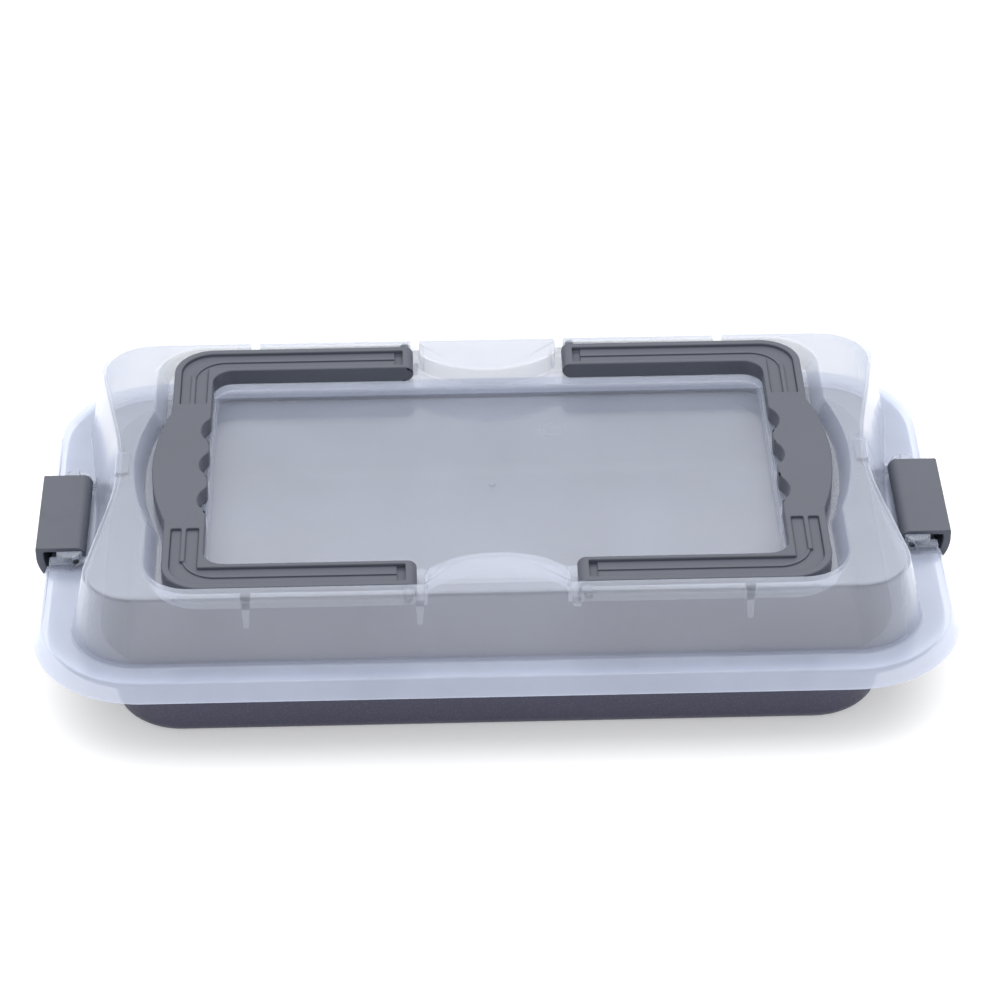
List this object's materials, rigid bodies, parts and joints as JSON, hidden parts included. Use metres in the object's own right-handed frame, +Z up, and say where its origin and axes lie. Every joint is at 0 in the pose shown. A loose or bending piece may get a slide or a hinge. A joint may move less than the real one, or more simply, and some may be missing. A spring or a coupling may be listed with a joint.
{
  "type": "cake pan with transport lid",
  "caption": "Rectangular non-stick cake pan with a translucent domed transport lid, folding carry handles in a recess on top and locking clips at the ends.",
  "frame": {"origin": "on the ground under the middle of the pan's flat base", "axes": "+Z up, +X along the long side towards the right clip, +Y away from the viewer"},
  "size_m": [0.4264, 0.2554, 0.0802],
  "materials": {
    "pan_steel": "dark anthracite non-stick coating, satin",
    "lid_polypropylene": "translucent natural polypropylene, glossy",
    "grey_plastic": "slate grey moulded plastic, matt"
  },
  "bodies": {
    "pan": {"baking_pan": "pan_steel"},
    "lid_body": {"lid": "lid_polypropylene"},
    "handle_left_body": {"handle_left": "grey_plastic"},
    "handle_right_body": {"handle_right": "grey_plastic"},
    "clip_left_body": {"clip_left": "grey_plastic"},
    "clip_right_body": {"clip_right": "grey_plastic"}
  },
  "joints": [
    {"name": "lid_lift", "type": "slide", "parent": "pan", "child": "lid_body", "axis": [0, 0, 1], "range_m": [0, 0.12]},
    {"name": "handle_left_hinge", "type": "hinge", "parent": "lid_body", "child": "handle_left_body", "pos_m": [-0.0403, 0, 0.0744], "axis": [0, 1, 0], "range_deg": [0, 107]},
    {"name": "handle_right_hinge", "type": "hinge", "parent": "lid_body", "child": "handle_right_body", "pos_m": [0.0403, 0, 0.0744], "axis": [0, -1, 0], "range_deg": [0, 107]},
    {"name": "clip_left_hinge", "type": "hinge", "parent": "lid_body", "child": "clip_left_body", "pos_m": [-0.1945, 0, 0.0488], "axis": [0, 1, 0], "range_deg": [0, 95]},
    {"name": "clip_right_hinge", "type": "hinge", "parent": "lid_body", "child": "clip_right_body", "pos_m": [0.1945, 0, 0.0488], "axis": [0, -1, 0], "range_deg": [0, 95]}
  ]
}
